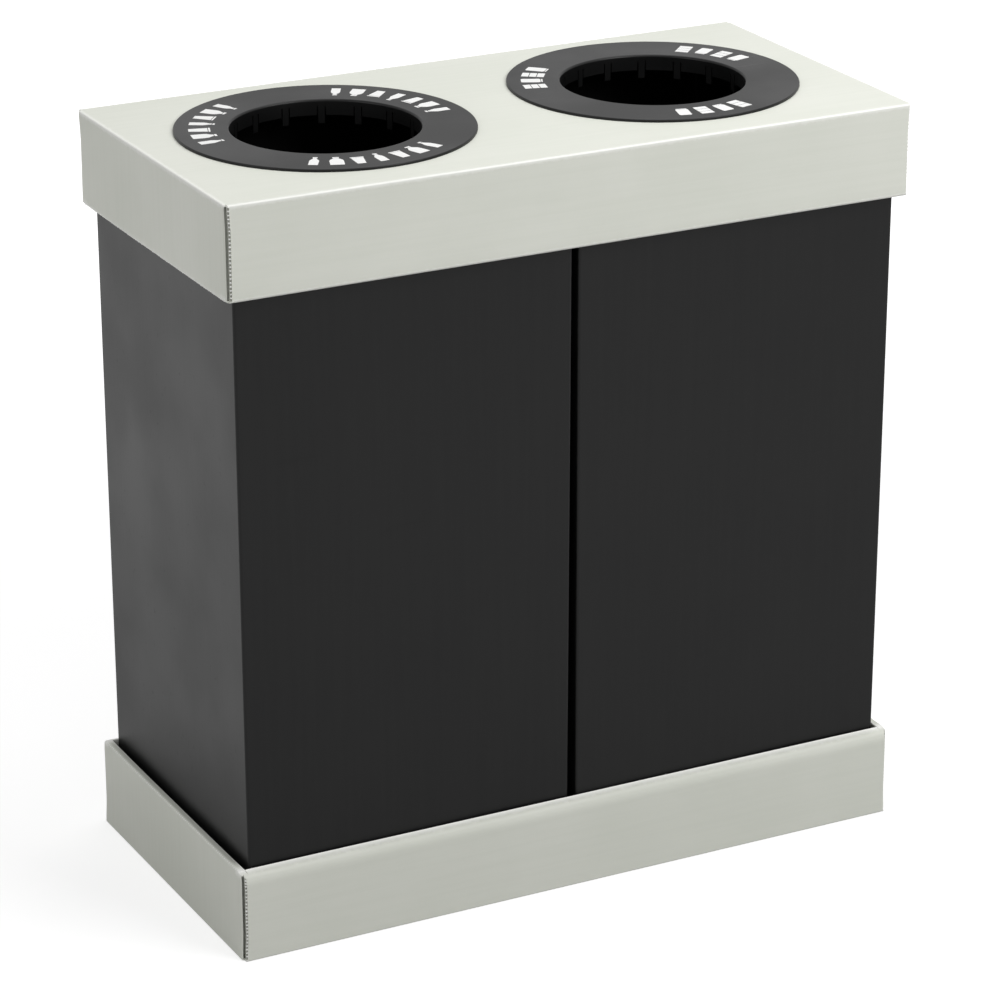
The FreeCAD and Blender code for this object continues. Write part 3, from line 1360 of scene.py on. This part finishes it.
@dataclass
class OpeningRing:
    """The moulded ring round one opening, with its snap fingers, its stamped marks and the collar below."""

    side: Side
    marks: tuple[Pictogram, ...]
    finish: MouldedFinish
    print_finish: PrintFinish
    opening_radius: float = 98 * MM
    neck_wall: float = 2.5 * MM
    flange: float = 3 * MM
    outer_rounding: float = 1.2 * MM
    inner_rounding: float = 2.4 * MM
    finger_count: int = 16
    finger_width: float = 7 * MM
    finger_drop: float = 9 * MM
    finger_chamfer: float = 0.35 * MM
    slot_width: float = 1.2 * MM
    slot_height: float = 10 * MM
    barb_reach: float = 2.2 * MM
    barb_ramp: float = 6 * MM
    collar_wall: float = 2.5 * MM
    collar_play: float = 0.3 * MM
    collar_chamfer: float = 0.8 * MM
    mark_thickness: float = 0.15 * MM
    mark_foot_radius: float = 139.5 * MM
    mark_pitch: float = 22.5 * MM
    mark_pitch_inset: float = 11.5 * MM
    mark_scale: float = 1.15
    mark_rows: int = 3
    segments: int = 256
    collar_segments: int = 192

    def __post_init__(self) -> None:
        """Takes the ring's and the collar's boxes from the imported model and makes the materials."""
        self.plastic = self.finish.material()
        self.foil = self.print_finish.material()
        self.node = "ring_" + self.side.label
        self.collar_node = "ring_collar_" + self.side.label
        self.body = self.side.label + "_ring"
        self.low, self.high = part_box(self.node)
        self.collar_low, self.collar_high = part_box(self.collar_node)
        self.centre = Vector(((self.low.x + self.high.x) / 2, (self.low.y + self.high.y) / 2, 0))
        self.neck_rim = self.low.z + self.finger_drop
        self.neck_radius = self.opening_radius + self.neck_wall
        self.flange_radius = (self.high.x - self.low.x) / 2
        self.top = self.high.z - self.mark_thickness

    def all_round(self, name: str, piece: Piece, count: int, material: Material, height: float = 0) -> Piece:
        """Repeats a small piece evenly round the ring's axis, lifted to a height."""
        start = self.centre + Vector((0, 0, height))
        return Repeat(count=count, step_turn=FULL_TURN / count).made(name, piece, [start], material)

    def slot_cutters(self) -> Piece:
        """The slits that free the fingers from the neck, all round.

        Returns:
            The cutter.
        """
        shape = bmesh.new()
        inside, outside = self.opening_radius - self.neck_wall, self.neck_radius + self.neck_wall
        foot, top = self.neck_rim - self.neck_wall, self.neck_rim + self.slot_height
        for way in (-1, 1):
            middle = way * (self.finger_width + self.slot_width) / 2
            near, far = middle - self.slot_width / 2, middle + self.slot_width / 2
            add_box(shape, (inside, near, foot), (outside, far, top))
        return self.all_round("slot_cutters", from_bmesh("slit", shape), self.finger_count, self.plastic)

    def flange_and_neck(self) -> Piece:
        """The flange that lies on the lid and the slotted neck that hangs through it.

        Returns:
            The moulding.
        """
        underside = self.high.z - self.flange
        outer, inner = self.outer_rounding, self.inner_rounding
        outline = [(self.opening_radius, self.neck_rim), (self.neck_radius, self.neck_rim)]
        outline += [(self.neck_radius, self.neck_rim + self.slot_height), (self.neck_radius, underside)]
        outline.append((self.flange_radius, underside))
        outer_arc = quarter_arc((self.flange_radius - outer, self.top - outer), outer, math.pi / 2)
        inner_arc = quarter_arc((self.opening_radius + inner, self.top - inner), inner, math.pi, steps=6)
        outline += [*reversed(outer_arc), *reversed(inner_arc)]
        outline.append((self.opening_radius, self.neck_rim + self.slot_height))
        ring = revolved(self.node + "_moulding", outline, self.centre, self.segments)
        return carved(ring, self.slot_cutters())

    def fingers(self) -> Piece:
        """The snap fingers, each with a barb that catches under the collar.

        Returns:
            The fingers, as one object.
        """
        tip, catch = self.low.z, self.collar_low.z
        inner, outer, edge = self.opening_radius, self.neck_radius, self.finger_chamfer
        profile = [
            (inner, self.neck_rim), (outer, self.neck_rim), (outer, catch),
            (outer + self.barb_reach, catch), (outer + self.barb_reach, catch - edge),
            (outer, catch - self.barb_ramp), (outer, tip + edge), (outer - edge, tip),
            (inner + edge, tip), (inner, tip + edge),
        ]
        shape = bmesh.new()
        flank = [(radius, -self.finger_width / 2, height) for radius, height in profile]
        add_prism(shape, flank, (0, self.finger_width, 0))
        finger = from_bmesh("finger", shape)
        return self.all_round(self.node + "_snap_fingers", finger, self.finger_count, self.plastic)

    def stamped_marks(self) -> Piece:
        """All the rows of marks round the flange, their bottoms outwards, the first centred on the front.

        Returns:
            The marks, as one object.
        """
        shape = bmesh.new()
        middle = (len(self.marks) - 1) / 2
        pitch_angle = self.mark_pitch / (self.mark_foot_radius - self.mark_pitch_inset)
        for index, mark in enumerate(self.marks):
            turn = Matrix.Rotation((index - middle) * pitch_angle, 4, "Z")
            for band in mark.value:
                corners = []
                for half, height in band + tuple((-half, height) for half, height in reversed(band)):
                    outwards = height * self.mark_scale * MM - self.mark_foot_radius
                    corners.append(turn @ Vector((half * self.mark_scale * MM, outwards, 0)))
                add_prism(shape, corners, (0, 0, self.mark_thickness))
        row = from_bmesh("mark_row", shape)
        return self.all_round(self.node + "_stamped_marks", row, self.mark_rows, self.foil, self.top)

    def collar(self) -> Piece:
        """The collar under the lid board, which the fingers snap behind.

        Returns:
            The collar.
        """
        bore = self.neck_radius + self.collar_play
        sleeve = bore + self.collar_wall
        flange_radius = (self.collar_high.x - self.collar_low.x) / 2
        foot, top = self.collar_low.z, self.collar_high.z
        flange_foot = top - self.collar_wall
        edge = self.collar_chamfer
        outline = [(bore, foot), (sleeve - edge, foot), (sleeve, foot + edge), (sleeve, flange_foot - edge)]
        outline += [(sleeve + edge, flange_foot), (flange_radius - edge, flange_foot)]
        outline += [(flange_radius, flange_foot + edge), (flange_radius, top), (bore, top)]
        return revolved(self.collar_node + "_moulding", outline, self.centre, self.collar_segments)

    def build(self) -> None:
        """Makes and dresses the ring's pieces."""
        slot = self.finish.name
        handed_over(smoothed(self.flange_and_neck()), self.plastic, self.body, slot, self.node)
        handed_over(smoothed(self.fingers()), self.plastic, self.body, slot)
        handed_over(smoothed(self.collar()), self.plastic, self.body, slot, self.collar_node)
        handed_over(self.stamped_marks(), self.foil, self.body, slot)


# Studio


def aimed(name: str, data: bpy.types.ID, place: Vector, ahead: Vector) -> Piece:
    """Puts a lamp or a camera into the scene.

    Args:
        name: The object's name.
        data: The lamp or the camera.
        place: Where it stands.
        ahead: The way that it looks.

    Returns:
        The object.
    """
    piece = bpy.data.objects.new(name, data)
    piece.location = place
    piece.rotation_euler = ahead.to_track_quat("-Z", "Y").to_euler()
    bpy.context.scene.collection.objects.link(piece)
    return piece


@dataclass(frozen=True)
class SoftLight:
    """A square area lamp that faces a point."""

    name: str
    place: Triple
    target: Triple
    size: float
    power: float

    def build(self) -> None:
        """Puts the lamp into the scene."""
        lamp = bpy.data.lights.new(self.name, "AREA")
        lamp.size = self.size
        lamp.energy = self.power
        aimed(self.name, lamp, Vector(self.place), Vector(self.target) - Vector(self.place))


@dataclass(frozen=True)
class Viewpoint:
    """The photograph's point of view: from the front left and above."""

    distance: float = 4.33
    lens: float = 145.4
    yaw: float = math.radians(27.39)
    pitch: float = math.radians(21.41)
    aim_right: float = 4.3 * MM
    aim_up: float = -30.4 * MM

    def build(self) -> None:
        """Makes the camera and gives it to the scene."""
        low, high = cad_box
        level = math.cos(self.pitch)
        ahead = Vector((math.sin(self.yaw) * level, math.cos(self.yaw) * level, -math.sin(self.pitch)))
        right = Vector((math.cos(self.yaw), -math.sin(self.yaw), 0))
        aim = (low + high) / 2 + right * self.aim_right + right.cross(ahead) * self.aim_up
        lens = bpy.data.cameras.new("photo_view")
        lens.lens = self.lens
        bpy.context.scene.camera = aimed("photo_view", lens, aim - ahead * self.distance, ahead)


@dataclass(frozen=True)
class Studio:
    """A pale floor in a white room, lit softly from the front, the left and above.

    A lift is the floor's glow near the object and far from it, as seen or as mirrored, and a reach
    is where the first one ends and the second one begins. The mirrored lift is a painted reflection, darker
    near the object, and the painted foot shadow darkens it further at the object's foot; only glossy surfaces
    see either.
    """

    floor_half_width: float = 14.0
    floor_colour: Colour = (0.52, 0.52, 0.52, 1.0)
    lift: Pair = (0.66, 1.0)
    reach: Pair = (0.9, 2.6)
    # Painted shadow and painted reflection: the reaches and glow of the floor as only glossy surfaces see it
    painted_foot_shadow: Pair = (0.06, 0.13)
    painted_reflection_lift: Pair = (0.62, 0.88)
    painted_reflection_reach: Pair = (0.55, 1.1)
    room_light: float = 0.43
    room_gloss: float = 0.78
    lights: tuple[SoftLight, ...] = (
        SoftLight("key", (1.0, -1.8, 2.3), (0.0, 0.0, 0.6), 1.4, 38.0),
        SoftLight("top", (0.7, 0.4, 3.2), (0.0, 0.0, 0.8), 2.0, 27.0),
        SoftLight("left_fill", (-3.2, -0.6, 1.9), (0.0, 0.0, 0.5), 2.0, 18.0),
    )

    def by_ray(self, sheet: NodeSheet, seen: object, mirrored: object, lit: object) -> Socket:
        """Picks a brightness by the kind of ray that asks for it.

        Args:
            sheet: The sheet of nodes to add to.
            seen: The brightness that the camera sees.
            mirrored: The brightness that glossy surfaces mirror.
            lit: The brightness that falls on everything as light.

        Returns:
            The brightness's socket.
        """
        path = sheet.node("ShaderNodeLightPath").outputs
        direct = sheet.maths("ADD", path["Is Camera Ray"], path["Is Transmission Ray"], clamp=True)
        glossy = path["Is Glossy Ray"]
        other = sheet.maths("SUBTRACT", 1.0, sheet.maths("ADD", direct, glossy), clamp=True)
        pairs = ((direct, seen), (glossy, mirrored), (other, lit))
        shares = [sheet.maths("MULTIPLY", share, brightness) for share, brightness in pairs]
        return sheet.maths("ADD", shares[0], sheet.maths("ADD", shares[1], shares[2]))

    def floor(self) -> None:
        """Lays the floor, which keeps the object's soft shadow."""
        shape = bmesh.new()
        bmesh.ops.create_grid(shape, x_segments=1, y_segments=1, size=self.floor_half_width)
        floor = from_bmesh("floor", shape)
        material = bpy.data.materials.new("pale_floor")
        material.use_nodes = True
        material.node_tree.nodes.clear()
        sheet = NodeSheet(material.node_tree)
        place = sheet.node("ShaderNodeTexCoord").outputs["Object"]
        seen = sheet.stepped(sheet.vectors("LENGTH", place).outputs["Value"], self.reach, self.lift)
        clear = [
            sheet.maths("SUBTRACT", sheet.maths("ABSOLUTE", part), half)
            for part, half in zip(sheet.parts(place), cad_box[1].xy)
        ]
        from_foot = sheet.maths("MAXIMUM", *clear)
        # Painted reflection and painted shadow: glossy rays see the floor darker near the object and dark at
        # its foot
        painted_floor_reflection = sheet.stepped(from_foot, self.painted_reflection_reach, self.painted_reflection_lift)
        mirrored = sheet.maths("MULTIPLY", sheet.stepped(from_foot, self.painted_foot_shadow), painted_floor_reflection)
        matte = sheet.node("ShaderNodeBsdfDiffuse", {"Color": self.floor_colour})
        glow = sheet.node("ShaderNodeEmission", {"Strength": self.by_ray(sheet, seen, mirrored, 0.0)})
        both = sheet.node("ShaderNodeAddShader", {0: matte.outputs[0], 1: glow.outputs[0]})
        sheet.node("ShaderNodeOutputMaterial", {"Surface": both.outputs[0]})
        floor.data.materials.append(material)

    def room(self) -> None:
        """Makes the white surroundings."""
        world = bpy.data.worlds.new("white_room")
        world.use_nodes = True
        sheet = NodeSheet(world.node_tree)
        background = world.node_tree.nodes["Background"].inputs
        background["Color"].default_value = (1, 1, 1, 1)
        sheet.feed(background["Strength"], self.by_ray(sheet, 1.0, self.room_gloss, self.room_light))
        bpy.context.scene.world = world

    def build(self) -> None:
        """Makes the floor, the room and the lamps."""
        self.floor()
        self.room()
        for light in self.lights:
            light.build()
        bpy.context.scene.view_settings.view_transform = "Standard"


def main() -> None:
    """Builds the recycling bin from the floor up, then the studio round it."""
    logging.basicConfig(level=logging.INFO, format="%(name)s: %(message)s")
    # The base's outer edges are painted less pale than the lid's, as less highlight falls on them
    FoldedTray(
        node="base_tray", body="base", finish=TRAY_BOARD, roll_up=True, seed=1.3, pocket_reach=60 * MM,
        pocket_depth=7.2 * MM, roll_lean=3.2 * MM, roll_droop=3.6 * MM, edge_whitening_and_highlight=(0.2, 3.0 * MM),
    ).build()
    for side in Side:
        FoldedBin(node="bin_" + side.label, body=side.label + "_bin", finish=BIN_BOARD, side=side).build()
    FoldedTray(node="lid_tray", body="lid", finish=TRAY_BOARD, roll_up=False, seed=4.1).build()
    for side, marks in ((Side.LEFT, BOTTLE_ROW), (Side.RIGHT, CAN_ROW)):
        OpeningRing(side=side, marks=marks, finish=RING_PLASTIC, print_finish=MARK_PRINT).build()
    Studio().build()
    Viewpoint().build()


if __name__ == "__main__":
    main()
